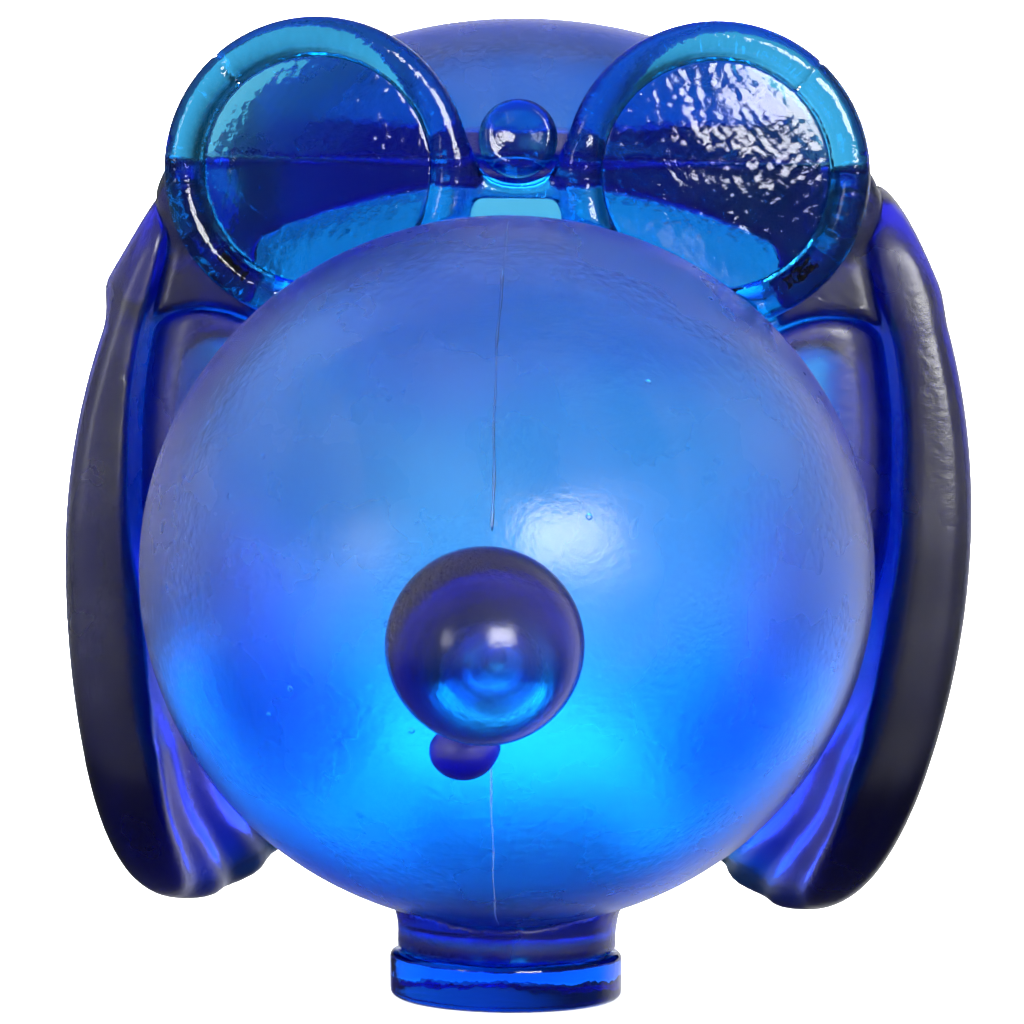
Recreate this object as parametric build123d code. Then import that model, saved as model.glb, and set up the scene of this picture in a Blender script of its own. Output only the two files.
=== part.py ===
from build123d import *

import os
from math import cos
from math import radians
from math import sin

# A squeeze toy: a cartoon dog's head with raised goggles, moulded in soft clear rubber.
#
# Millimetres. +Z is up and the nose points along -Y. The origin is the middle of the flat
# underside of the neck, which the toy stands on. Left and right are the dog's own.

os.makedirs("parts", exist_ok=True)

# Muzzle: a hollow ball.
MUZZLE_Y = -6.5
MUZZLE_Z = 26.3
MUZZLE_R = 21.5
MUZZLE_WALL = 2.1
MUZZLE_THROAT_R = 8.0
SQUEEZE_TRAVEL = 4.0
SQUEEZE_GAP = 0.3

# Head: a hollow barrel with a round bottom behind the muzzle, about a vertical line.
HEAD_Y = 2.5
HEAD_FRONT_Y = HEAD_Y - 0.1
HEAD_R = 23.1
HEAD_BALL_Z = 30.1
HEAD_WALL = 1.6
HEAD_TAPER_Z = 37.0
HEAD_TOP_R = 21.2
HEAD_TOP_Z = 45.2

# Brow cap: the solid upper part that carries the ears, with the skull dome on its ledge.
CAP_BOTTOM_Z = 41.0
LEDGE_R = 21.0
LEDGE_Z = 50.4
LEDGE_ROUND = 0.8
ARCH_HALF_WIDTH = 16.5
ARCH_CENTRE_Z = 38.0
ARCH_TOP_Z = 46.3
DOME_TOP_Z = 59.1
DOME_BALL_R = 25.5
DOME_BALL_Y = HEAD_Y + 4.0
DOME_PLAN_R = 20.0
DOME_WALL = 2.0

# Neck: a flared stub with a flanged plug in its mouth.
NECK_R = 6.6
NECK_FLARE_R = 7.5
NECK_FLARE_Z = 6.2
NECK_WAIST_Z = 4.3
COLLAR_R = 7.0
COLLAR_HEIGHT = 2.8
COLLAR_ROUND = 0.5
SPIGOT_R = 4.4
SPIGOT_TOP_Z = 4.5
THROAT_HALF_WIDTH = 6.4
THROAT_THICKNESS = 2.3
THROAT_BACK_Y = HEAD_Y + 15.0
THROAT_TOP_Z = 15.0

# Nose: a solid ball on a stem that slides in a socket.
NOSE_R = 5.4
NOSE_OFFSET = 27.9
NOSE_Z = 24.6
NOSE_TRAVEL = 1.2
NOSE_GAP = 0.25
NOSE_STEM_R = 1.8
NOSE_RUNNING_GAP = 0.06
NOSE_BARB_R = 2.9
NOSE_BARB_LENGTH = 1.2
SOCKET_R = 4.6
SOCKET_SLEEVE_R = 2.7
SOCKET_HEIGHT = 1.6
SOCKET_SLEEVE_LENGTH = 2.6

# Vent plug: a small mushroom under the nose.
VENT_X = -1.5
VENT_Z = 18.0
VENT_R = 1.9
VENT_STEM_R = 0.8
VENT_BARB_R = 1.3
VENT_BARB_LENGTH = 0.8
VENT_BARB_GAP = 0.1

# Goggles: two round rims joined by a bridge, with a lens in each.
RIM_X = 12.0
RIM_Z = 49.7
RIM_R = 9.1
RIM_INNER_R = 6.9
RIM_ROUND = 0.8
GOGGLE_BACK_Y = HEAD_FRONT_Y
GOGGLE_FRONT_Y = GOGGLE_BACK_Y - 3.0
LENS_R = 7.4
LENS_THICKNESS = 1.4
LENS_FRONT_Y = GOGGLE_FRONT_Y + 0.8
BRIDGE_HALF_WIDTH = 4.4
BRIDGE_BOTTOM_Z = 46.2
BRIDGE_TOP_Z = 51.0
BRIDGE_FRONT_Y = GOGGLE_FRONT_Y + 0.4
BRIDGE_BACK_Y = BRIDGE_FRONT_Y + 1.5
BRIDGE_SADDLE_R = 3.4
BRIDGE_SADDLE_Z = 52.3
BRIDGE_SLOT_HALF_WIDTH = 3.0
BRIDGE_SLOT_TOP_Z = 48.2
BRIDGE_SLOT_ROUND = 0.8
KNOB_R = 2.4
KNOB_Z = 51.7
KNOB_BACK_Y = HEAD_FRONT_Y + 1.3
KNOB_PIN_R = 1.1
KNOB_PIN_END_Y = HEAD_FRONT_Y + 3.1

# Ears: long flaps that hang from a round root in the ends of the brow cap.
# Each ear section: height, outer radius, thickness, and its front and back angles.
EAR_SECTIONS = [
    (4.3, 22.2, 1.6, 20.0, 38.0),
    (6.4, 23.2, 3.2, 8.0, 49.0),
    (11.5, 25.1, 4.2, 0.0, 54.0),
    (20.0, 26.9, 4.3, -4.0, 52.0),
    (28.0, 27.5, 4.0, -4.0, 46.0),
    (36.0, 26.7, 3.1, -2.0, 40.0),
    (42.0, 25.2, 2.3, 1.0, 30.0),
    (46.3, 23.9, 1.9, 3.0, 21.0),
]
ROOT_X = 19.5
ROOT_Y = HEAD_Y + 5.2
ROOT_Z = 47.8
ROOT_R = 1.5
ROOT_GAP = 0.06
ROOT_LENGTH = 8.0
ROOT_WEB = 1.6
ROOT_WEB_ANGLE = -35.0
ROOT_WEB_LENGTH = 3.9
BOSS_R = 2.5
BOSS_LENGTH = 10.4
BOSS_CLEARANCE = 0.35
MOUTH_FROM_ANGLE = -72.0
MOUTH_TO_ANGLE = 62.0
MOUTH_REACH = 6.0
MOUTH_END_GAP = 0.6

FAR = 100.0
Y_AXIS = (0, 1, 0)


def along_y(radius, start, end, x=0.0, z=0.0):
    """A round bar from start to end along Y."""
    disc = Plane((x, start, z), z_dir=Y_AXIS) * Circle(radius)
    return extrude(disc, amount=end - start)


def ball(radius, y, z):
    return Pos(0, y, z) * Sphere(radius)


def behind(y):
    """Everything behind an upright plane."""
    return Pos(0, y + FAR / 2, 0) * Box(FAR, FAR, 2 * FAR)


def above(z):
    return Pos(0, 0, z + FAR / 2) * Box(2 * FAR, 2 * FAR, FAR)


def swept_muzzle(gap):
    """The space that the muzzle passes through over its squeeze, with a gap all round."""
    radius = MUZZLE_R + gap
    end_y = MUZZLE_Y + SQUEEZE_TRAVEL
    front = ball(radius, MUZZLE_Y, MUZZLE_Z) - behind(MUZZLE_Y)
    back = ball(radius, end_y, MUZZLE_Z) & behind(end_y)
    return front + along_y(radius, MUZZLE_Y, end_y, z=MUZZLE_Z) + back


def barrel(inset):
    """The head's outer form moved inwards by inset, before its front is cut flat."""
    radius = HEAD_R - inset
    bottom = Pos(0, HEAD_Y, HEAD_BALL_Z) * (Sphere(radius) - above(0))
    middle = Pos(0, HEAD_Y, HEAD_BALL_Z) * extrude(Circle(radius), amount=HEAD_TAPER_Z - HEAD_BALL_Z)
    top_height = HEAD_TOP_Z - HEAD_TAPER_Z
    top_align = (Align.CENTER, Align.CENTER, Align.MIN)
    top = Pos(0, HEAD_Y, HEAD_TAPER_Z) * Cone(radius, HEAD_TOP_R - inset, top_height, align=top_align)
    return bottom + middle + top


def muzzle_shell():
    shell = ball(MUZZLE_R, MUZZLE_Y, MUZZLE_Z) - ball(MUZZLE_R - MUZZLE_WALL, MUZZLE_Y, MUZZLE_Z)
    throat = along_y(MUZZLE_THROAT_R, MUZZLE_Y, MUZZLE_Y + FAR, z=MUZZLE_Z)
    nose_hole = along_y(SOCKET_SLEEVE_R, MUZZLE_Y - FAR, MUZZLE_Y, z=NOSE_Z)
    return shell - throat - nose_hole - vent_plug()


def nose_seat_y():
    """Where the muzzle's outside lies in front of the nose's axis."""
    return MUZZLE_Y - (MUZZLE_R**2 - (NOSE_Z - MUZZLE_Z) ** 2) ** 0.5


def nose_socket():
    """A ring on the muzzle with a cup for the ball and a sleeve through the skin."""
    seat = nose_seat_y()
    ring = along_y(SOCKET_R, seat - SOCKET_HEIGHT, seat + MUZZLE_WALL, z=NOSE_Z)
    ring = ring - ball(MUZZLE_R, MUZZLE_Y, MUZZLE_Z)
    sleeve = along_y(SOCKET_SLEEVE_R, seat - SOCKET_HEIGHT, seat + SOCKET_SLEEVE_LENGTH, z=NOSE_Z)
    pressed = ball(NOSE_R + NOSE_GAP, nose_y() + NOSE_TRAVEL, NOSE_Z)
    bore = along_y(NOSE_STEM_R + NOSE_RUNNING_GAP, -FAR, FAR, z=NOSE_Z)
    return ring + sleeve - pressed - bore


def nose_y():
    return MUZZLE_Y - NOSE_OFFSET


def nose():
    tip = ball(NOSE_R, nose_y(), NOSE_Z)
    barb_y = nose_seat_y() + SOCKET_SLEEVE_LENGTH
    stem = along_y(NOSE_STEM_R, nose_y(), barb_y, z=NOSE_Z)
    barb = along_y(NOSE_BARB_R, barb_y, barb_y + NOSE_BARB_LENGTH, z=NOSE_Z)
    return tip + stem + barb


def vent_plug():
    """A button with its stem and barb, square to the muzzle's skin."""
    lift = VENT_Z - MUZZLE_Z
    depth = (MUZZLE_R**2 - VENT_X**2 - lift**2) ** 0.5
    skin = Plane((VENT_X, MUZZLE_Y - depth, VENT_Z), z_dir=(VENT_X, -depth, lift))
    button = skin * Sphere(VENT_R) - ball(MUZZLE_R, MUZZLE_Y, MUZZLE_Z)
    stem = skin * extrude(Circle(VENT_STEM_R), amount=-MUZZLE_WALL - VENT_BARB_LENGTH)
    barb_plane = skin.offset(-MUZZLE_WALL - VENT_BARB_GAP)
    barb = barb_plane * extrude(Circle(VENT_BARB_R), amount=-VENT_BARB_LENGTH)
    return button + stem + barb


def head_shell():
    """The hollow back of the head, with the throat that joins it to the neck."""
    outer = barrel(0) & behind(HEAD_FRONT_Y)
    inner = barrel(HEAD_WALL) & behind(HEAD_FRONT_Y + HEAD_WALL)
    skin = outer - inner - above(CAP_BOTTOM_Z)
    throat_box = Pos(0, THROAT_BACK_Y / 2, THROAT_TOP_Z / 2) * Box(
        2 * THROAT_HALF_WIDTH, THROAT_BACK_Y, THROAT_TOP_Z
    )
    throat = (swept_muzzle(SQUEEZE_GAP + THROAT_THICKNESS) & throat_box) - inner
    neck = Pos(0, 0, COLLAR_HEIGHT) * extrude(Circle(NECK_R), amount=NECK_FLARE_Z - COLLAR_HEIGHT)
    flare = Pos(0, 0, NECK_WAIST_Z) * Cone(
        NECK_R,
        NECK_FLARE_R,
        NECK_FLARE_Z - NECK_WAIST_Z,
        align=(Align.CENTER, Align.CENTER, Align.MIN),
    )
    return skin + throat + neck + flare - swept_muzzle(SQUEEZE_GAP) - neck_plug()


def neck_plug():
    collar = extrude(Circle(COLLAR_R), amount=COLLAR_HEIGHT)
    collar = fillet(collar.edges().filter_by(GeomType.CIRCLE), COLLAR_ROUND)
    spigot = extrude(Circle(SPIGOT_R), amount=SPIGOT_TOP_Z)
    return collar + spigot


def root_bar(side, radius, length):
    """A round bar on an ear's turning line."""
    return along_y(radius, ROOT_Y - length / 2, ROOT_Y + length / 2, x=side * ROOT_X, z=ROOT_Z)


def mouth(side):
    """The opening of a root channel: a wedge that the ear's web swings in."""
    corners = [(0, 0)]
    for angle in (MOUTH_FROM_ANGLE, (MOUTH_FROM_ANGLE + MOUTH_TO_ANGLE) / 2, MOUTH_TO_ANGLE):
        corners.append((MOUTH_REACH * cos(radians(angle)), MOUTH_REACH * sin(radians(angle))))
    outline = [(side * (ROOT_X + x), ROOT_Z + z) for x, z in corners]
    wedge = make_face(Polyline(outline, close=True))
    length = ROOT_LENGTH + MOUTH_END_GAP
    back = ROOT_Y + length / 2
    return Pos(0, back, 0) * extrude(Plane.XZ * wedge, amount=length)


def brow_cap():
    """The solid cap over the barrel, with a channel at each end for an ear's root."""
    lower = barrel(0) & above(CAP_BOTTOM_Z)
    slab = Pos(0, HEAD_Y, HEAD_TOP_Z) * extrude(Circle(LEDGE_R), amount=LEDGE_Z - HEAD_TOP_Z)
    slab = fillet(slab.edges().filter_by(GeomType.CIRCLE).group_by(Axis.Z)[-1], LEDGE_ROUND)
    cap = (lower + slab) & behind(HEAD_FRONT_Y)
    arch = Plane((0, 0, ARCH_CENTRE_Z), x_dir=(1, 0, 0), z_dir=Y_AXIS) * Ellipse(
        ARCH_HALF_WIDTH, ARCH_TOP_Z - ARCH_CENTRE_Z
    )
    plan = Pos(0, HEAD_Y, 0) * extrude(Circle(HEAD_TOP_R - HEAD_WALL), amount=FAR)
    hollow = extrude(arch, amount=FAR) & plan
    cap = cap - hollow - swept_muzzle(SQUEEZE_GAP)
    for side in (-1, 1):
        cap = cap + root_bar(side, BOSS_R, BOSS_LENGTH)
        channel = root_bar(side, ROOT_R + ROOT_GAP, ROOT_LENGTH + 2 * ROOT_GAP)
        cap = cap - channel - mouth(side)
    return cap


def dome_form(inset):
    """A cap cut from a large ball, flat in front and round in plan behind."""
    crown = ball(DOME_BALL_R - inset, DOME_BALL_Y, DOME_TOP_Z - DOME_BALL_R)
    plan = Pos(0, HEAD_Y, 0) * extrude(Circle(DOME_PLAN_R - inset), amount=FAR)
    return crown & plan & behind(HEAD_FRONT_Y + inset)


def skull_dome():
    return (dome_form(0) - dome_form(DOME_WALL)) & above(LEDGE_Z)


def bridge_knob():
    head = along_y(KNOB_R, BRIDGE_BACK_Y, KNOB_BACK_Y, z=KNOB_Z)
    pin = along_y(KNOB_PIN_R, BRIDGE_BACK_Y, KNOB_PIN_END_Y, z=KNOB_Z)
    return head + pin


def goggle_lens(side):
    """A thin crowned disc, trimmed where the muzzle rises in front of the brow."""
    disc = along_y(LENS_R, LENS_FRONT_Y, LENS_FRONT_Y + LENS_THICKNESS, x=side * RIM_X, z=RIM_Z)
    return disc - swept_muzzle(SQUEEZE_GAP)


def goggle_frame():
    frame = None
    for side in (-1, 1):
        rim = along_y(RIM_R, GOGGLE_FRONT_Y, GOGGLE_BACK_Y, x=side * RIM_X, z=RIM_Z)
        rim = fillet(rim.edges().filter_by(GeomType.CIRCLE), RIM_ROUND)
        rim = rim - along_y(RIM_INNER_R, GOGGLE_FRONT_Y, GOGGLE_BACK_Y, x=side * RIM_X, z=RIM_Z)
        frame = rim if frame is None else frame + rim
    web_height = BRIDGE_TOP_Z - BRIDGE_BOTTOM_Z
    web = Pos(0, BRIDGE_BOTTOM_Z + web_height / 2) * Rectangle(2 * BRIDGE_HALF_WIDTH, web_height)
    web = web - Pos(0, BRIDGE_SADDLE_Z) * Circle(BRIDGE_SADDLE_R)
    slot_height = 2 * (BRIDGE_SLOT_TOP_Z - BRIDGE_BOTTOM_Z)
    web = web - Pos(0, BRIDGE_BOTTOM_Z) * RectangleRounded(
        2 * BRIDGE_SLOT_HALF_WIDTH, slot_height, BRIDGE_SLOT_ROUND
    )
    web = Pos(0, BRIDGE_BACK_Y, 0) * extrude(Plane.XZ * web, amount=BRIDGE_BACK_Y - BRIDGE_FRONT_Y)
    for side in (-1, 1):
        web = web - along_y(RIM_INNER_R, GOGGLE_FRONT_Y, GOGGLE_BACK_Y, x=side * RIM_X, z=RIM_Z)
    frame = frame + web - swept_muzzle(SQUEEZE_GAP)
    for side in (-1, 1):
        frame = frame - goggle_lens(side)
    return frame


def ear_section(side, z, outer_r, thickness, front, back):
    """A curved strip in plan, from its front angle to its back angle behind the side."""
    inner_r = outer_r - thickness
    corners = {}
    for name, radius in (("outer", outer_r), ("inner", inner_r)):
        for angle in (front, (front + back) / 2, back):
            x = side * radius * cos(radians(angle))
            corners[name, angle] = (x, HEAD_Y + radius * sin(radians(angle)), z)
    middle = (front + back) / 2
    outside = ThreePointArc(corners["outer", front], corners["outer", middle], corners["outer", back])
    inside = ThreePointArc(corners["inner", back], corners["inner", middle], corners["inner", front])
    return make_face([outside, Line(outside @ 1, inside @ 0), inside, Line(inside @ 1, outside @ 0)])


def ear(side):
    """A flap that hugs the head, with a web and a round root at its top."""
    flap = loft([ear_section(side, *section) for section in EAR_SECTIONS])
    flap = flap - root_bar(side, BOSS_R + BOSS_CLEARANCE, FAR)
    web_angle = ROOT_WEB_ANGLE if side > 0 else 180 - ROOT_WEB_ANGLE
    web = Rectangle(ROOT_WEB_LENGTH, ROOT_WEB, align=(Align.MIN, Align.CENTER))
    web = Pos(side * ROOT_X, ROOT_Z) * Rot(0, 0, web_angle) * web
    web = Pos(0, ROOT_Y + ROOT_LENGTH / 2, 0) * extrude(Plane.XZ * web, amount=ROOT_LENGTH)
    return flap + web + root_bar(side, ROOT_R, ROOT_LENGTH)


def main():
    parts = {
        "head_shell": head_shell(),
        "brow_cap": brow_cap() - bridge_knob(),
        "skull_dome": skull_dome() - bridge_knob(),
        "neck_plug": neck_plug(),
        "muzzle_shell": muzzle_shell(),
        "nose_socket": nose_socket(),
        "nose": nose(),
        "vent_plug": vent_plug(),
        "goggle_frame": goggle_frame(),
        "lens_left": goggle_lens(1),
        "lens_right": goggle_lens(-1),
        "bridge_knob": bridge_knob(),
        "ear_left": ear(1),
        "ear_right": ear(-1),
    }
    for name, part in parts.items():
        part.label = name
        export_step(part, f"parts/{name}.step")


main()
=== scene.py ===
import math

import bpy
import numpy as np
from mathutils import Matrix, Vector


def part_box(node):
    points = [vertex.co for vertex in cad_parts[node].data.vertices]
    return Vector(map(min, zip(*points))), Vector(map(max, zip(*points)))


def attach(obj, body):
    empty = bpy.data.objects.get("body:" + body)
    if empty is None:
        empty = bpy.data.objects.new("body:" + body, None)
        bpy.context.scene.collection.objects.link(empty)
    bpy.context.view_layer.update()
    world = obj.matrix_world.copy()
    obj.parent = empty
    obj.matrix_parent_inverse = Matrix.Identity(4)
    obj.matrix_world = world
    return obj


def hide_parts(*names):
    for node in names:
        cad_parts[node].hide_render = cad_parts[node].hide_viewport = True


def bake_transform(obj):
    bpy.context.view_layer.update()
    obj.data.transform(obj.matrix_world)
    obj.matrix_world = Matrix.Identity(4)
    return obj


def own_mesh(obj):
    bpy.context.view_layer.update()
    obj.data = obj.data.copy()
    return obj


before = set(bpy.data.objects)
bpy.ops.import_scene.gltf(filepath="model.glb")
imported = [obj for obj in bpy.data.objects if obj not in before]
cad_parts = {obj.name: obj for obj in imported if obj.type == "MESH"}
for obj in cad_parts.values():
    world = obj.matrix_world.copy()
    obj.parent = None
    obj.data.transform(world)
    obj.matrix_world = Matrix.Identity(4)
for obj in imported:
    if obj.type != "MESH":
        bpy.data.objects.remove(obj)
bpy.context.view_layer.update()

# Looks for a squeeze toy: a cartoon dog's head with raised goggles in clear blue rubber.
#
# Shapes are worked out in millimetres and turned into metres when a mesh is made. The frame is
# the CAD part's: +Z up, the nose along -Y, the origin under the middle of the neck. A field is
# negative inside a piece and about the distance to its surface near it.

MM = 0.001
SEED = 7


# ---------------------------------------------------------------- places, in millimetres


def box_mm(node):
    low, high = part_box(node)
    return np.array(low) / MM, np.array(high) / MM


muzzle_low, muzzle_high = box_mm("muzzle_shell")
MUZZLE_R = (muzzle_high[0] - muzzle_low[0]) / 2
MUZZLE_HALF_HEIGHT = 0.975 * MUZZLE_R
MUZZLE_HALF_WIDTH = 1.008 * MUZZLE_R
MUZZLE_Z = (muzzle_high[2] + muzzle_low[2]) / 2
MUZZLE_Y = -6.5
MUZZLE_WALL = 2.1
MUZZLE_GAP = 0.25
MUZZLE_OPEN_Y = 9.3  # the open back, behind the ball's middle

HEAD_Y = 2.5
HEAD_FRONT_Y = box_mm("brow_cap")[0][1]
HEAD_R = box_mm("head_shell")[1][0]
HEAD_BALL_Z = 30.1
HEAD_WALL = 1.6
HEAD_TAPER_Z = 37.0
HEAD_TOP_R = 21.2
HEAD_TOP_Z = 45.2
LEDGE_Z = box_mm("brow_cap")[1][2]
LEDGE_R = 21.0
SPLIT_TOP_Z = 41.2
SPLIT_LOW_Z = 39.6
SPLIT_TOP_X = 19.0
SPLIT_FALL = 0.08
PIECE_GAP = 0.04
SEAT_GAP = 0.2

ARCH_HALF_WIDTH = 15.7
ARCH_TOP_Z = 48.9
ARCH_DROP = 3.0
ARCH_DROP_X = 14.7

nose_low, nose_high = box_mm("nose")
NOSE_R = (nose_high[0] - nose_low[0]) / 2
NOSE_Y = nose_low[1] + NOSE_R
NOSE_Z = (nose_high[2] + nose_low[2]) / 2

vent_low, vent_high = box_mm("vent_plug")
VENT_X = (vent_high[0] + vent_low[0]) / 2
VENT_Z = 17.9
VENT_R = (vent_high[0] - vent_low[0]) / 2

goggle_low, goggle_high = box_mm("goggle_frame")
RIM_R = 9.1
RIM_X = goggle_high[0] - RIM_R
RIM_Z = goggle_high[2] - RIM_R
RIM_MIDDLE_R = 8.12
RIM_HALF_WIDTH = 0.98
RIM_EDGE = 0.95
LIP_R = 7.12
LIP_Y = -0.55
LIP_HALF_WIDTH = 0.33
CREASE_TURN = 42
CREASE_WIDTH = 0.12
GOGGLE_Y = (goggle_high[1] + goggle_low[1]) / 2
GOGGLE_HALF_DEPTH = (goggle_high[1] - goggle_low[1]) / 2
BRIDGE_HALF_WIDTH = 4.4
BRIDGE_HALF_DEPTH = 0.85
BRIDGE_TOP_Z = 50.9
BRIDGE_LOW_Z = 46.0
BRIDGE_DIP_R = 3.3
BRIDGE_DIP_Z = 52.3
SLOT_HALF_WIDTH = 2.9
SLOT_TOP_Z = 48.1
LENS_R = 7.0
LENS_FRONT_Y = -0.45
LENS_BACK_Y = 0.6
LENS_CROWN = 0.4
LENS_CROWN_R = 7.4
LENS_TILT = 0.05

knob_low, knob_high = box_mm("bridge_knob")
KNOB_R = (knob_high[0] - knob_low[0]) / 2
KNOB_Z = (knob_high[2] + knob_low[2]) / 2
KNOB_Y = knob_low[1]

ROOT_X = 19.5
ROOT_Y = HEAD_Y + 5.2
ROOT_Z = 47.8
ROOT_R = 2.5
ROOT_HALF_LENGTH = 5.2
ROOT_GAP = 0.25

EAR_LOW_Y, EAR_LOW_Z, EAR_LOW_HALF = HEAD_Y + 8.8, 13.8, 9.9
EAR_HIGH_Y, EAR_HIGH_Z, EAR_HIGH_HALF = ROOT_Y, 44.0, 5.4
EAR_TAPER = 1.15
EAR_HEAD_GAP = 0.35
EAR_THICKNESS_Z = (4, 8, 14, 20, 30, 36, 42, 46)
EAR_THICKNESS = (3.0, 4.0, 4.7, 4.8, 4.6, 4.2, 3.9, 3.6)
EAR_WRINKLE = 0.18
EAR_WRINKLE_TOP_Z = 18.0

NECK_R = 6.6
NECK_FLARE = 0.95
NECK_FLARE_Z = 4.0
NECK_FLARE_HEIGHT = 2.5
THROAT_WALL = 2.4
THROAT_HALF_WIDTH = 6.2
THROAT_LOW_Z = 3.0
THROAT_HIGH_Z = 15.0
COLLAR_R = box_mm("neck_plug")[1][0]
COLLAR_HEIGHT = 2.8
SPIGOT_R = 4.4
SPIGOT_LOW_Z = 0.5
SPIGOT_HIGH_Z = 4.5

DOME_TOP_Z = box_mm("skull_dome")[1][2]
DOME_BEHIND = 9.9
DOME_RADII = (19.2, 11.0, 11.6)
DOME_ROOM_RADII = (16.6, 8.4, 9.4)
DOME_FLOOR = 1.5


# ---------------------------------------------------------------- camera


def make_camera():
    """A long lens a little above the goggles' height, turned slightly to the dog's left."""
    distance = 330 * MM
    azimuth = math.radians(2.3)
    eye_height = 54 * MM
    aim = Vector((0.0, 0.0, 29.3 * MM))
    place = Vector((distance * math.sin(azimuth), -distance * math.cos(azimuth), eye_height))
    data = bpy.data.cameras.new("camera")
    data.sensor_width = 36.0
    data.lens = 193.4
    data.clip_start = 0.01
    data.clip_end = 10.0
    data.dof.use_dof = False
    camera = bpy.data.objects.new("camera", data)
    camera.location = place
    turn = (aim - place).to_track_quat("-Z", "Y").to_matrix()
    roll = Matrix.Rotation(math.radians(0.7), 3, "Z")
    camera.rotation_euler = (turn @ roll).to_euler()
    bpy.context.scene.collection.objects.link(camera)
    bpy.context.scene.camera = camera


# ---------------------------------------------------------------- fields and their surfaces


def smooth_min(a, b, k):
    h = np.clip(0.5 + 0.5 * (b - a) / k, 0.0, 1.0)
    return b + (a - b) * h - k * h * (1.0 - h)


def smooth_max(a, b, k):
    return -smooth_min(-a, -b, k)


def ellipsoid(p, centre, radii):
    q = (p - np.array(centre)) / np.array(radii)
    outer = np.linalg.norm(q, axis=1)
    slope = np.linalg.norm(q / np.array(radii), axis=1) + 1e-9
    return outer * (outer - 1.0) / slope


def rounded_bar_y(p, x, z, radius, front, back, edge):
    """A round bar along Y with rounded rims."""
    across = np.hypot(p[:, 0] - x, p[:, 2] - z) - (radius - edge)
    along = np.abs(p[:, 1] - (front + back) / 2) - ((back - front) / 2 - edge)
    outside = np.hypot(np.maximum(across, 0), np.maximum(along, 0))
    return outside + np.minimum(np.maximum(across, along), 0) - edge


def rounded_bar_z(p, radius, bottom, top, edge):
    across = np.hypot(p[:, 0], p[:, 1]) - (radius - edge)
    along = np.abs(p[:, 2] - (top + bottom) / 2) - ((top - bottom) / 2 - edge)
    outside = np.hypot(np.maximum(across, 0), np.maximum(along, 0))
    return outside + np.minimum(np.maximum(across, along), 0) - edge


def surface_net(field, low, high, step):
    """Points and quads of the surface where the field is zero, one point in each crossed cell."""
    axes = [np.arange(a, b + step, step) for a, b in zip(low, high)]
    shape = tuple(len(a) for a in axes)
    grid = np.stack(np.meshgrid(*axes, indexing="ij"), -1).reshape(-1, 3)
    values = field(grid).reshape(shape)
    inside = values < 0
    cells = tuple(n - 1 for n in shape)
    total = np.zeros(cells + (3,))
    count = np.zeros(cells)
    for axis in range(3):
        for first in (0, 1):
            for second in (0, 1):
                start = [0, 0, 0]
                others = [a for a in range(3) if a != axis]
                start[others[0]] = first
                start[others[1]] = second
                end = list(start)
                end[axis] = 1
                here = values[tuple(slice(s, s + n) for s, n in zip(start, cells))]
                there = values[tuple(slice(s, s + n) for s, n in zip(end, cells))]
                crossed = (here < 0) != (there < 0)
                way = np.where(crossed, here / np.where(crossed, here - there, 1.0), 0.0)
                for a in range(3):
                    offset = way if a == axis else float(start[a])
                    total[..., a] += np.where(crossed, offset, 0.0)
                count += crossed
    used = count > 0
    index = np.full(cells, -1)
    index[used] = np.arange(used.sum())
    corner = np.stack(np.nonzero(used), -1)
    points = (corner + total[used] / count[used][:, None]) * step + np.array([a[0] for a in axes])
    quads = []
    for axis in range(3):
        a, b = [o for o in range(3) if o != axis]
        lower = [slice(None)] * 3
        upper = [slice(None)] * 3
        lower[axis] = slice(0, shape[axis] - 1)
        upper[axis] = slice(1, shape[axis])
        for s in (lower, upper):
            s[a] = slice(1, shape[a] - 1)
            s[b] = slice(1, shape[b] - 1)
        differs = inside[tuple(lower)] != inside[tuple(upper)]
        where = np.stack(np.nonzero(differs), -1)
        where[:, a] += 1
        where[:, b] += 1
        ring = []
        for da, db in ((-1, -1), (0, -1), (0, 0), (-1, 0)):
            at = where.copy()
            at[:, a] += da
            at[:, b] += db
            ring.append(index[at[:, 0], at[:, 1], at[:, 2]])
        ring = np.stack(ring, -1)
        from_inside = inside[where[:, 0], where[:, 1], where[:, 2]]
        flip = from_inside if axis == 1 else ~from_inside
        ring[flip] = ring[flip][:, ::-1]
        quads.append(ring)
    return points, np.concatenate(quads)


def settle(field, points, rounds=4, nudge=0.02):
    """Moves points onto the field's zero surface."""
    for _ in range(rounds):
        value = field(points)
        slope = np.zeros_like(points)
        for axis in range(3):
            step = np.zeros(3)
            step[axis] = nudge
            slope[:, axis] = (field(points + step) - field(points - step)) / (2 * nudge)
        size = np.maximum((slope**2).sum(1), 0.05)
        move = value[:, None] * slope / size[:, None]
        points = points - np.clip(move, -0.3, 0.3)
    return points


def make_mesh(name, points, faces):
    mesh = bpy.data.meshes.new(name)
    mesh.from_pydata((np.asarray(points) * MM).tolist(), [], faces)
    mesh.validate()
    mesh.update()
    mesh.shade_smooth()
    piece = bpy.data.objects.new(name, mesh)
    bpy.context.scene.collection.objects.link(piece)
    return piece


def form(name, field, low, high, step, relax=1):
    """A closed mesh of a field's surface, evened out a little and settled back onto it."""
    points, quads = surface_net(field, low, high, step)
    neighbours = np.concatenate([quads[:, [i, (i + 1) % 4]] for i in range(4)])
    for _ in range(relax):
        total = np.zeros_like(points)
        count = np.zeros(len(points))
        for a, b in ((0, 1), (1, 0)):
            np.add.at(total, neighbours[:, a], points[neighbours[:, b]])
            np.add.at(count, neighbours[:, a], 1)
        points = 0.5 * points + 0.5 * total / count[:, None]
        points = settle(field, points, 2)
    points = settle(field, points)
    return make_mesh(name, points, quads.tolist())


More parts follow.
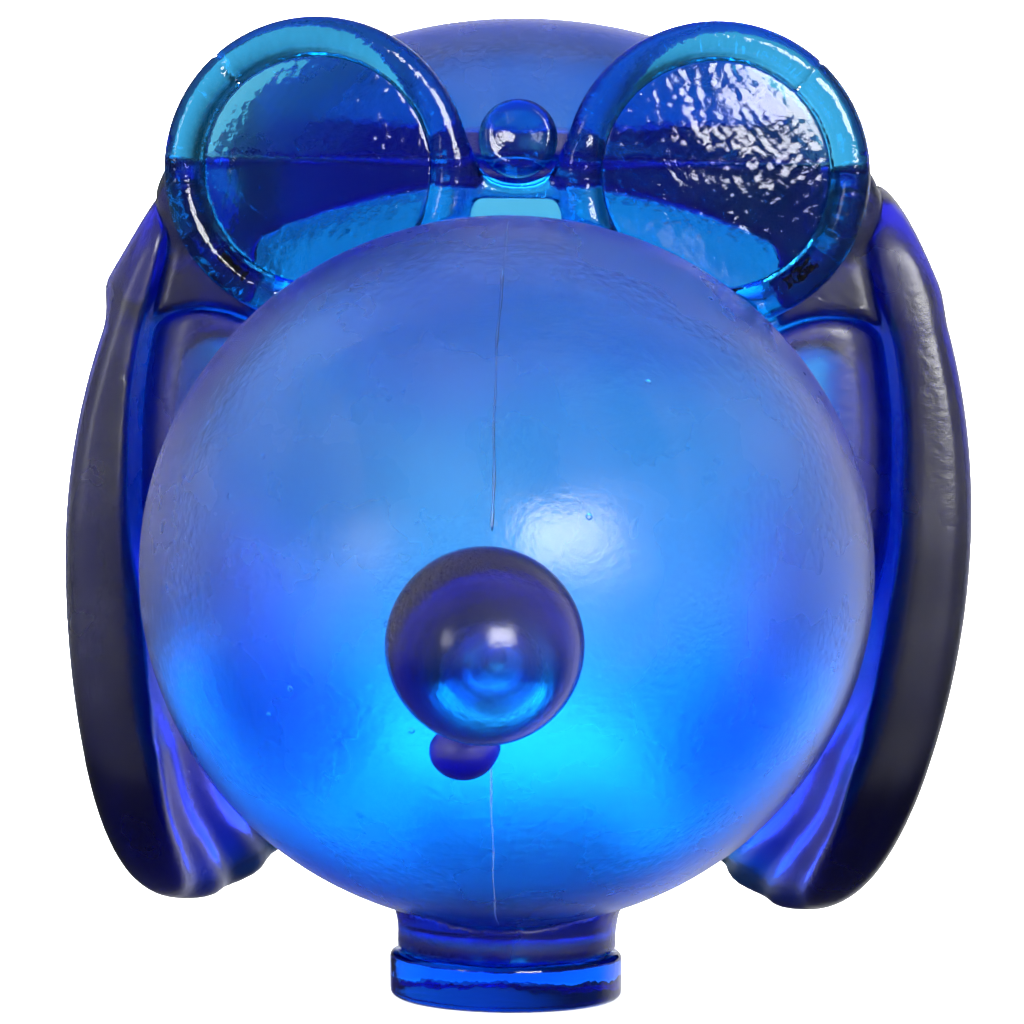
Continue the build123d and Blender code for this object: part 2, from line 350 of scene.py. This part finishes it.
def ripples(p, wavelength, waves, seed):
    """A smooth random field of about unit height: a sum of plane waves in many directions."""
    rng = np.random.default_rng(seed)
    total = np.zeros(len(p))
    for _ in range(waves):
        way = rng.normal(size=3)
        way /= np.linalg.norm(way)
        length = wavelength * rng.uniform(0.7, 1.6)
        total += np.sin(p @ way * (2 * math.pi / length) + rng.uniform(0, 2 * math.pi))
    return total * math.sqrt(2.0 / waves)


def seam_thread(name, path, radius, seed):
    """A thin raised line of mould flash along a path of points."""
    rng = np.random.default_rng(seed)
    path = np.asarray(path, float)
    ahead = np.gradient(path, axis=0)
    ahead /= np.linalg.norm(ahead, axis=1)[:, None]
    side = np.array([1.0, 0.0, 0.0])
    up = np.cross(ahead, side)
    up /= np.linalg.norm(up, axis=1)[:, None]
    knots = rng.uniform(0.45, 1.25, len(path) // 3 + 2)
    width = radius * np.interp(np.arange(len(path)) / 3.0, np.arange(len(knots)), knots)
    width[0] = width[-1] = 0.2 * radius
    sides = 6
    points = []
    for i, centre in enumerate(path):
        for s in range(sides):
            angle = 2 * math.pi * s / sides
            points.append(centre + width[i] * (math.cos(angle) * side + math.sin(angle) * up[i]))
    faces = []
    for i in range(len(path) - 1):
        for s in range(sides):
            t = (s + 1) % sides
            faces.append((i * sides + s, i * sides + t, (i + 1) * sides + t, (i + 1) * sides + s))
    tip = len(points)
    points.append(path[0])
    points.append(path[-1])
    last_ring = (len(path) - 1) * sides
    for s in range(sides):
        t = (s + 1) % sides
        faces.append((tip, t, s))
        faces.append((tip + 1, last_ring + s, last_ring + t))
    return make_mesh(name, points, faces)


# ---------------------------------------------------------------- the toy's fields


def muzzle_field(p, grow=0.0):
    radii = (MUZZLE_HALF_WIDTH + grow, MUZZLE_R + grow, MUZZLE_HALF_HEIGHT + grow)
    return ellipsoid(p, (0, MUZZLE_Y, MUZZLE_Z), radii)


def muzzle_room(p):
    """The space that the head's pieces leave for the muzzle as it is squeezed back."""
    stretch = np.clip(p[:, 1] - MUZZLE_Y, 0.0, 1.6)
    shifted = p - np.stack([np.zeros(len(p)), stretch, np.zeros(len(p))], -1)
    return muzzle_field(shifted, MUZZLE_GAP)


def muzzle_wall_field(p):
    """A thin bowl with a round rim, open behind into the head."""
    outer = muzzle_field(p)
    inner = muzzle_field(p, -MUZZLE_WALL) + 0.12 * ripples(p, 14.0, 12, SEED)
    return smooth_max(np.maximum(outer, -inner), p[:, 1] - MUZZLE_Y - MUZZLE_OPEN_Y, 0.8)


def barrel_field(p, inset=0.0):
    """The head's round-bottomed barrel."""
    x, y, z = p[:, 0], p[:, 1] - HEAD_Y, p[:, 2]
    radius = np.hypot(x, y)
    slope = (HEAD_R - HEAD_TOP_R) / (HEAD_TOP_Z - HEAD_TAPER_Z)
    wall = HEAD_R - slope * smooth_max(z - HEAD_TAPER_Z, np.zeros_like(z), 4.0)
    below = np.minimum(z - HEAD_BALL_Z, 0.0)
    return np.hypot(radius, below) - wall + inset


def split_height(p):
    """The arched line where the thick brow meets the thin cheeks."""
    arch = SPLIT_TOP_Z - SPLIT_FALL * (np.abs(p[:, 0]) - SPLIT_TOP_X) ** 2
    return np.maximum(arch, SPLIT_LOW_Z)


def head_field(p):
    """The thin cheeks and back, the throat under the muzzle and the neck."""
    split = split_height(p)
    outer = smooth_max(barrel_field(p), HEAD_FRONT_Y - p[:, 1], 3.5)
    inner = smooth_max(barrel_field(p, HEAD_WALL), HEAD_FRONT_Y + HEAD_WALL - p[:, 1], 2.5)
    outer = smooth_max(outer, p[:, 2] - split + PIECE_GAP, 0.8)
    inner = smooth_max(inner, p[:, 2] - split + 1.0, 2.5)
    neck_top = MUZZLE_Z - MUZZLE_HALF_HEIGHT + 1.2
    height = np.clip((p[:, 2] - NECK_FLARE_Z) / NECK_FLARE_HEIGHT, 0.0, 1.0)
    neck = np.hypot(p[:, 0], p[:, 1]) - (NECK_R + NECK_FLARE * height**2)
    neck = smooth_max(neck, COLLAR_HEIGHT + PIECE_GAP - p[:, 2], 0.3)
    neck = smooth_max(neck, p[:, 2] - neck_top, 0.3)
    throat = np.maximum(muzzle_field(p, THROAT_WALL), np.abs(p[:, 0]) - THROAT_HALF_WIDTH)
    throat = smooth_max(throat, -p[:, 1], 1.0)
    throat = smooth_max(throat, p[:, 2] - THROAT_HIGH_Z, 1.0)
    throat = smooth_max(throat, THROAT_LOW_Z - p[:, 2], 0.5)
    outer = smooth_min(outer, smooth_min(neck, throat, 0.8), 2.0)
    return smooth_max(np.maximum(outer, -inner), -muzzle_room(p), 0.3)


def brow_field(p):
    """The thick brow with its ledge, a boss for each ear and the hollow behind the forehead."""
    x, y, z = np.abs(p[:, 0]), p[:, 1], p[:, 2]
    outer = barrel_field(p)
    ledge = np.hypot(p[:, 0], y - HEAD_Y) - LEDGE_R
    outer = smooth_min(outer, np.maximum(ledge, HEAD_TOP_Z - 1.0 - z), 0.8)
    outer = smooth_max(outer, HEAD_FRONT_Y - y, 1.2)
    front, back = ROOT_Y - ROOT_HALF_LENGTH, ROOT_Y + ROOT_HALF_LENGTH
    boss = rounded_bar_y(np.stack([x, y, z], -1), ROOT_X, ROOT_Z, ROOT_R, front, back, 1.0)
    outer = smooth_min(outer, boss, 1.2)
    outer = smooth_max(outer, z - LEDGE_Z, 0.8)
    outer = smooth_max(outer, split_height(p) + PIECE_GAP - z, 0.5)
    arch_top = z - ARCH_TOP_Z + ARCH_DROP * (x / ARCH_DROP_X) ** 2
    arch = smooth_max(x - ARCH_HALF_WIDTH, arch_top, 1.2)
    hollow = smooth_max(arch, np.hypot(p[:, 0], y - HEAD_Y) - (HEAD_TOP_R - HEAD_WALL), 1.5)
    outer = smooth_max(outer, -hollow, 0.6)
    return smooth_max(outer, -muzzle_room(p), 0.3)


def dome_field(p):
    """The hollow top of the skull, with a floor of its own on the ledge."""
    centre = (0.0, HEAD_Y + DOME_BEHIND, DOME_TOP_Z - DOME_RADII[2])
    outer = ellipsoid(p, centre, DOME_RADII)
    inner = ellipsoid(p, centre, DOME_ROOM_RADII)
    outer = smooth_max(outer, HEAD_FRONT_Y + PIECE_GAP - p[:, 1], 1.5)
    outer = np.maximum(outer, LEDGE_Z + PIECE_GAP - p[:, 2])
    return np.maximum(outer, -np.maximum(inner, LEDGE_Z + DOME_FLOOR - p[:, 2]))


def rim_field(p):
    """Both rims, the bridge between them and the slot under it."""
    x, y, z = np.abs(p[:, 0]), p[:, 1] - GOGGLE_Y, p[:, 2]
    away = np.hypot(x - RIM_X, z - RIM_Z)
    across = np.abs(away - RIM_MIDDLE_R) - (RIM_HALF_WIDTH - 0.9 * RIM_EDGE)
    along = np.abs(y) - (GOGGLE_HALF_DEPTH - RIM_EDGE)
    outside = np.hypot(np.maximum(across, 0), np.maximum(along, 0))
    tube = outside + np.minimum(np.maximum(across, along), 0) - RIM_EDGE
    lip = np.hypot(away - LIP_R, y - LIP_Y) - LIP_HALF_WIDTH
    rim = smooth_min(tube, lip, 0.12)
    turn = math.radians(CREASE_TURN)
    crease = (x - RIM_X) * math.cos(turn) - (z - RIM_Z) * math.sin(turn)
    notch = np.maximum(np.abs(crease) - CREASE_WIDTH, -crease)
    rim = smooth_max(rim, -(notch + 1.05 * np.maximum(-(tube + 0.22), 0)), 0.15)
    bridge = np.maximum(np.abs(y) - BRIDGE_HALF_DEPTH, x - BRIDGE_HALF_WIDTH)
    bridge = smooth_max(bridge, z - BRIDGE_TOP_Z, 0.6)
    bridge = smooth_max(bridge, BRIDGE_LOW_Z - z, 0.6)
    bridge = smooth_max(bridge, BRIDGE_DIP_R - np.hypot(x, z - BRIDGE_DIP_Z), 0.7)
    slot = smooth_max(x - SLOT_HALF_WIDTH, z - SLOT_TOP_Z, 0.8)
    bridge = smooth_max(bridge, -slot, 0.4)
    bridge = np.maximum(bridge, LENS_R + 0.2 - away)
    whole = smooth_min(rim, bridge, 1.2)
    return smooth_max(whole, -muzzle_room(p), 0.25)


def ear_field(p, widest_r, widest_z, bow_above, bow_below):
    """One long flap, for the side where x is positive, bowed outwards about its widest height."""
    x, y, z = p[:, 0], p[:, 1], p[:, 2]
    radius = np.hypot(x, y - HEAD_Y)
    bow = np.where(z > widest_z, bow_above, bow_below)
    outside = widest_r - bow + np.sqrt(np.maximum(bow**2 - (z - widest_z) ** 2, 0.01))
    outer = radius - outside
    thickness = np.interp(z, EAR_THICKNESS_Z, EAR_THICKNESS)
    inner = (outside - thickness) - radius
    wave = np.sin(1.5 * y + 0.9 * z + 0.6 * np.sin(0.8 * z))
    inner = inner - EAR_WRINKLE * wave * np.clip((EAR_WRINKLE_TOP_Z - z) / 8.0, 0, 1)
    ratio = np.clip((z - EAR_LOW_Z) / (EAR_HIGH_Z - EAR_LOW_Z), 0, 1)
    middle = EAR_LOW_Y + (EAR_HIGH_Y - EAR_LOW_Y) * ratio
    half = EAR_LOW_HALF + (EAR_HIGH_HALF - EAR_LOW_HALF) * ratio**EAR_TAPER
    beyond = np.maximum(EAR_LOW_Z - z, 0) + np.maximum(z - EAR_HIGH_Z, 0)
    outline = np.hypot(y - middle, beyond) - half
    flap = smooth_max(smooth_max(outer, inner, 1.3), outline, 1.6)
    flap = smooth_max(flap, EAR_HEAD_GAP - barrel_field(p), 0.4)
    boss = np.hypot(x - ROOT_X, z - ROOT_Z) - (ROOT_R + ROOT_GAP)
    flap = smooth_max(flap, -boss, 0.4)
    return smooth_min(flap, ear_root_field(p), 1.8)


def ear_root_field(p):
    """A flat tapering bar from inside the brow's boss out to the top of the flap."""
    x, y, z = p[:, 0], p[:, 1], p[:, 2]
    start = np.array([ROOT_X + 0.6, ROOT_Z - 0.4])
    end = np.array([ROOT_X + 4.3, ROOT_Z - 5.4])
    line = end - start
    t = np.clip(((x - start[0]) * line[0] + (z - start[1]) * line[1]) / (line @ line), 0, 1)
    root = np.hypot(x - start[0] - t * line[0], z - start[1] - t * line[1]) - (1.55 - 0.35 * t)
    return smooth_max(root, np.abs(y - ROOT_Y) - 4.2, 1.2)


def left_ear_field(p):
    return ear_field(p, widest_r=27.75, widest_z=29.0, bow_above=43.0, bow_below=50.0)


def right_ear_field(p):
    return ear_field(p, widest_r=27.35, widest_z=26.5, bow_above=42.5, bow_below=66.0)


def nose_field(p):
    """The nose ball on its stem, with a blind hollow low in the ball."""
    ball = np.linalg.norm(p - np.array([0, NOSE_Y, NOSE_Z]), axis=1) - NOSE_R
    stem = rounded_bar_y(p, 0.0, NOSE_Z + 0.6, 1.2, NOSE_Y, nose_high[1], 0.4)
    hollow = ellipsoid(p, (0.3, NOSE_Y, NOSE_Z - 0.9), (3.5, 4.5, 3.4))
    return np.maximum(smooth_min(ball, stem, 1.2), -hollow)


def socket_field(p):
    """The ring on the ball's front that the nose sits in."""
    seat = MUZZLE_Y - MUZZLE_R
    ring = rounded_bar_y(p, 0.0, NOSE_Z, 4.6, seat - 1.6, seat + 2.0, 0.5)
    ring = smooth_max(ring, -muzzle_field(p, SEAT_GAP), 0.2)
    cup = np.linalg.norm(p - np.array([0, NOSE_Y + 1.2, NOSE_Z]), axis=1) - (NOSE_R + 0.25)
    bore = np.hypot(p[:, 0], p[:, 2] - NOSE_Z) - 3.1
    return smooth_max(smooth_max(ring, -cup, 0.3), -bore, 0.3)


def vent_field(p):
    """The small button under the nose, off the middle, with a lobe on one side."""
    lift = VENT_Z - MUZZLE_Z
    depth = math.sqrt(MUZZLE_R**2 - VENT_X**2 - lift**2)
    centre = np.array([VENT_X, MUZZLE_Y - depth, VENT_Z])
    ball = ellipsoid(p, centre, (VENT_R, 1.7, 0.86 * VENT_R))
    lobe = ellipsoid(p, centre + np.array([1.3, 0.1, 0.5]), (0.8, 1.2, 0.9))
    ball = smooth_min(ball, lobe, 0.5)
    return smooth_max(ball, -muzzle_field(p, PIECE_GAP), 0.15)


def collar_field(p):
    """The neck's foot, slightly uneven round its top, with a spigot up the neck."""
    collar = rounded_bar_z(p, COLLAR_R, 0.0, COLLAR_HEIGHT, 0.4)
    angle = np.arctan2(p[:, 1], p[:, 0])
    uneven = 0.05 * np.sin(3 * angle + 0.6) + 0.03 * np.sin(7 * angle)
    spigot = rounded_bar_z(p, SPIGOT_R, SPIGOT_LOW_Z, SPIGOT_HIGH_Z, 0.3)
    return smooth_min(collar + uneven * np.clip(p[:, 2] / 2.0, 0, 1), spigot, 0.3)


def knob_field(p):
    """A round knob with a dished face."""
    head = rounded_bar_y(p, 0.0, KNOB_Z, KNOB_R, KNOB_Y + 0.05, KNOB_Y + 2.2, 0.8)
    dish = np.linalg.norm(p - np.array([0, KNOB_Y - 2.6, KNOB_Z + 0.4]), axis=1) - 3.1
    return smooth_max(head, -dish, 0.3)


def lens_field(p):
    """A crowned disc with a hammered front, for the side where x is positive."""
    away = np.hypot(p[:, 0] - RIM_X, p[:, 2] - RIM_Z)
    y = p[:, 1] - GOGGLE_Y
    hammer = 0.008 * ripples(p * np.array([1, 0, 1]), 0.6, 28, SEED + 3)
    hammer += 0.013 * ripples(p * np.array([1, 0, 1]), 2.2, 10, SEED + 4)
    crown = LENS_CROWN * (1 - (away / LENS_CROWN_R) ** 2) - LENS_TILT * (p[:, 0] - RIM_X)
    front = (LENS_FRONT_Y - crown + hammer) - y
    back = y - LENS_BACK_Y
    disc = smooth_max(smooth_max(front, back, 0.2), away - LENS_R, 0.3)
    return smooth_max(disc, -muzzle_room(p), 0.2)


# ---------------------------------------------------------------- materials


RUBBER_TINT = (0.9, 0.97, 1.0, 1.0)
RUBBER_IOR = 1.46
DYE_COLOUR = (0.0, 0.74, 0.945, 1.0)
SPECK_HEIGHT = 0.06


def clear_rubber(name, roughness, grain, grain_size, density, specks=0.0):
    """Clear dyed rubber: light that passes through loses red first, then green, then blue.

    The grain is a bump of that height and size in millimetres, the density is the dye's per
    metre, and specks is the strength of the raised dust.
    """
    material = bpy.data.materials.new(name)
    material.use_nodes = True
    nodes, links = material.node_tree.nodes, material.node_tree.links
    shader = nodes["Principled BSDF"]
    shader.inputs["Base Color"].default_value = RUBBER_TINT
    shader.inputs["Transmission Weight"].default_value = 1.0
    shader.inputs["IOR"].default_value = RUBBER_IOR
    place = nodes.new("ShaderNodeTexCoord")
    uneven = nodes.new("ShaderNodeTexNoise")
    uneven.inputs["Scale"].default_value = 120.0
    uneven.inputs["Detail"].default_value = 4.0
    spread = nodes.new("ShaderNodeMapRange")
    spread.inputs["From Min"].default_value = 0.3
    spread.inputs["From Max"].default_value = 0.7
    spread.inputs["To Min"].default_value = 0.75 * roughness
    spread.inputs["To Max"].default_value = 1.25 * roughness
    links.new(place.outputs["Object"], uneven.inputs["Vector"])
    links.new(uneven.outputs["Fac"], spread.inputs["Value"])
    links.new(spread.outputs["Result"], shader.inputs["Roughness"])
    fine = nodes.new("ShaderNodeTexNoise")
    fine.inputs["Scale"].default_value = 1.0 / (grain_size * MM)
    fine.inputs["Detail"].default_value = 3.0
    links.new(place.outputs["Object"], fine.inputs["Vector"])
    bump = nodes.new("ShaderNodeBump")
    bump.inputs["Strength"].default_value = 1.0
    bump.inputs["Distance"].default_value = grain * MM
    links.new(fine.outputs["Fac"], bump.inputs["Height"])
    links.new(bump.outputs["Normal"], shader.inputs["Normal"])
    if specks:
        dust = nodes.new("ShaderNodeTexVoronoi")
        dust.inputs["Scale"].default_value = 260.0
        dust.inputs["Randomness"].default_value = 1.0
        links.new(place.outputs["Object"], dust.inputs["Vector"])
        dots = nodes.new("ShaderNodeMapRange")
        dots.inputs["From Min"].default_value = 0.03
        dots.inputs["From Max"].default_value = 0.05
        dots.inputs["To Min"].default_value = 1.0
        dots.inputs["To Max"].default_value = 0.0
        links.new(dust.outputs["Distance"], dots.inputs["Value"])
        raised = nodes.new("ShaderNodeBump")
        raised.inputs["Strength"].default_value = specks
        raised.inputs["Distance"].default_value = SPECK_HEIGHT * MM
        links.new(dots.outputs["Result"], raised.inputs["Height"])
        links.new(bump.outputs["Normal"], raised.inputs["Normal"])
        links.new(raised.outputs["Normal"], shader.inputs["Normal"])
    dye = nodes.new("ShaderNodeVolumeAbsorption")
    dye.inputs["Color"].default_value = DYE_COLOUR
    dye.inputs["Density"].default_value = density
    links.new(dye.outputs["Volume"], nodes["Material Output"].inputs["Volume"])
    return material


def paint(piece, material):
    piece.data.materials.clear()
    piece.data.materials.append(material)


# ---------------------------------------------------------------- pieces


def around(node, below, above=None):
    """A CAD node's box, grown so that the piece that replaces the node fits in it."""
    low, high = box_mm(node)
    return low - below, high + (below if above is None else above)


def add(name, field, room, step, material, node, body=None, relax=1):
    piece = form(name, field, *room, step, relax)
    paint(piece, material)
    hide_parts(node)
    if body:
        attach(piece, body)
    return piece


def mirror(field):
    def other_side(p):
        return field(p * np.array([-1.0, 1.0, 1.0]))

    return other_side


def meridian(radii, centre, start, end):
    """Points round an ellipsoid in the upright middle plane, by angle from straight ahead."""
    angles = np.radians(np.linspace(start, end, 90))
    y = centre[1] - radii[1] * np.cos(angles)
    z = centre[2] + radii[2] * np.sin(angles)
    wander = 0.05 * np.sin(7.0 * angles) + 0.03 * np.sin(23.0 * angles)
    return np.stack([centre[0] + wander, y, z], -1)


def build_muzzle(skin, plug, tip):
    """The ball with its two seam lines and vent, and the nose with its seat."""
    middle = np.array([0.0, MUZZLE_Y, MUZZLE_Z])
    reach = np.array([26.0, 26.0, 26.0])
    room = (middle - reach, middle + reach)
    muzzle = add("muzzle_skin", muzzle_wall_field, room, 0.5, skin, "muzzle_shell")
    radii = (MUZZLE_HALF_WIDTH, MUZZLE_R, MUZZLE_HALF_HEIGHT)
    seam = seam_thread("muzzle_seam", meridian(radii, middle, 11, 80), 0.09, SEED + 1)
    lower_path = meridian(radii, middle, -20, -75)
    lower_seam = seam_thread("muzzle_seam_low", lower_path, 0.045, SEED + 2)
    for piece in (seam, lower_seam):
        paint(piece, skin)
    room = around("vent_plug", 1.5)
    vent = add("vent_button", vent_field, room, 0.15, plug, "vent_plug")
    for piece in (muzzle, seam, lower_seam, vent):
        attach(piece, "head")
        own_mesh(piece)
    room = around("nose", 1.0)
    add("nose_ball", nose_field, room, 0.25, tip, "nose", "nose_tip")
    room = around("nose_socket", 1.0)
    add("nose_seat", socket_field, room, 0.2, tip, "nose_socket", "muzzle")


def build_ear(side, name, material):
    field = left_ear_field if side > 0 else mirror(right_ear_field)
    node = "ear_" + name
    ear = add("ear_flap_" + name, field, around(node, 2.5), 0.4, material, node)
    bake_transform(ear)


def build_toy():
    skin = clear_rubber("blue_skin", 0.26, 0.02, 0.5, 1400.0, specks=0.6)
    cap = clear_rubber("blue_brow", 0.22, 0.02, 0.5, 1500.0, specks=0.3)
    solid = clear_rubber("blue_solid", 0.24, 0.02, 0.5, 3600.0, specks=0.3)
    tip = clear_rubber("blue_nose", 0.2, 0.02, 0.5, 2300.0, specks=0.2)
    plug = clear_rubber("blue_plug", 0.3, 0.02, 0.5, 14000.0)
    gloss = clear_rubber("blue_gloss", 0.06, 0.08, 1.1, 1000.0)
    base = clear_rubber("blue_collar", 0.05, 0.08, 2.0, 850.0)
    lens = clear_rubber("blue_lens", 0.05, 0.03, 0.45, 2300.0)
    build_muzzle(skin, plug, tip)
    head_pieces = (
        ("cheeks", "head_shell", (1.5,), head_field, 0.4, skin, "blue_skin"),
        ("brow", "brow_cap", (1.5,), brow_field, 0.35, cap, "blue_solid"),
        ("skull", "skull_dome", (2.0, 3.0), dome_field, 0.35, skin, "blue_skin"),
        ("goggle_rims", "goggle_frame", (1.0,), rim_field, 0.2, gloss, "blue_gloss"),
        ("forehead_knob", "bridge_knob", (1.0,), knob_field, 0.15, gloss, "blue_gloss"),
        ("neck_collar", "neck_plug", (1.0,), collar_field, 0.2, base, "blue_gloss"),
    )
    for name, node, margins, field, step, material, slot in head_pieces:
        add(name, field, around(node, *margins), step, material, node, "head")
    for name, side in (("left", 1), ("right", -1)):
        field = lens_field if side > 0 else mirror(lens_field)
        node = "lens_" + name
        add("goggle_" + node, field, around(node, 1.0), 0.13, lens, node, "head", relax=0)
        build_ear(side, name, solid)


# ---------------------------------------------------------------- stage and light


def area_light(name, place, aim, size, power):
    data = bpy.data.lights.new(name, "AREA")
    data.shape = "RECTANGLE"
    data.size, data.size_y = size
    data.energy = power
    light = bpy.data.objects.new(name, data)
    light.location = place
    light.rotation_euler = (Vector(aim) - Vector(place)).to_track_quat("-Z", "Y").to_euler()
    bpy.context.scene.collection.objects.link(light)


def studio_world():
    """Brightest behind the toy, and dimmer for what its surfaces mirror than for what they pass."""
    world = bpy.data.worlds.new("studio")
    world.use_nodes = True
    bpy.context.scene.world = world
    nodes, links = world.node_tree.nodes, world.node_tree.links
    background = nodes["Background"]
    background.inputs["Color"].default_value = (1.0, 1.0, 1.0, 1.0)
    place = nodes.new("ShaderNodeTexCoord")
    levels = {}
    for name, turn, side, back in (("through", 16, 6.5, 14.0), ("mirrored", -25, 0.08, 0.95)):
        facing = nodes.new("ShaderNodeVectorMath")
        facing.operation = "DOT_PRODUCT"
        angle = math.radians(turn)
        facing.inputs[1].default_value = (-math.sin(angle), math.cos(angle), 0.0)
        links.new(place.outputs["Generated"], facing.inputs[0])
        level = nodes.new("ShaderNodeMapRange")
        level.interpolation_type = "SMOOTHSTEP"
        level.inputs["From Min"].default_value = 0.6
        level.inputs["From Max"].default_value = 0.98
        level.inputs["To Min"].default_value = side
        level.inputs["To Max"].default_value = back
        links.new(facing.outputs["Value"], level.inputs["Value"])
        levels[name] = level.outputs["Result"]
    path = nodes.new("ShaderNodeLightPath")
    choose = nodes.new("ShaderNodeMix")
    links.new(path.outputs["Is Glossy Ray"], choose.inputs["Factor"])
    links.new(levels["through"], choose.inputs["A"])
    links.new(levels["mirrored"], choose.inputs["B"])
    seen = nodes.new("ShaderNodeMath")
    seen.operation = "MAXIMUM"
    links.new(path.outputs["Is Camera Ray"], seen.inputs[0])
    links.new(choose.outputs["Result"], seen.inputs[1])
    links.new(seen.outputs["Value"], background.inputs["Strength"])


def build_stage():
    """A pale floor that the toy's gloss doesn't mirror, a soft key light and a weak fill."""
    below = (0, 0, -0.02 * MM)
    bpy.ops.mesh.primitive_circle_add(vertices=96, radius=0.12, fill_type="NGON", location=below)
    floor = bpy.context.object
    floor.name = "floor"
    floor.visible_glossy = False
    material = bpy.data.materials.new("pale_floor")
    material.use_nodes = True
    shader = material.node_tree.nodes["Principled BSDF"]
    shader.inputs["Base Color"].default_value = (0.93, 0.93, 0.93, 1)
    shader.inputs["Roughness"].default_value = 0.8
    floor.data.materials.append(material)
    studio_world()
    area_light("key", (0.125, -0.34, 0.125), (0, -0.02, 0.03), (0.17, 0.11), 1.15)
    area_light("fill", (-0.24, -0.30, 0.10), (0, -0.02, 0.03), (0.07, 0.10), 0.12)
    scene = bpy.context.scene
    scene.view_settings.view_transform = "Standard"
    scene.cycles.max_bounces = 16
    scene.cycles.transmission_bounces = 16
    scene.cycles.glossy_bounces = 6


make_camera()
build_toy()
build_stage()
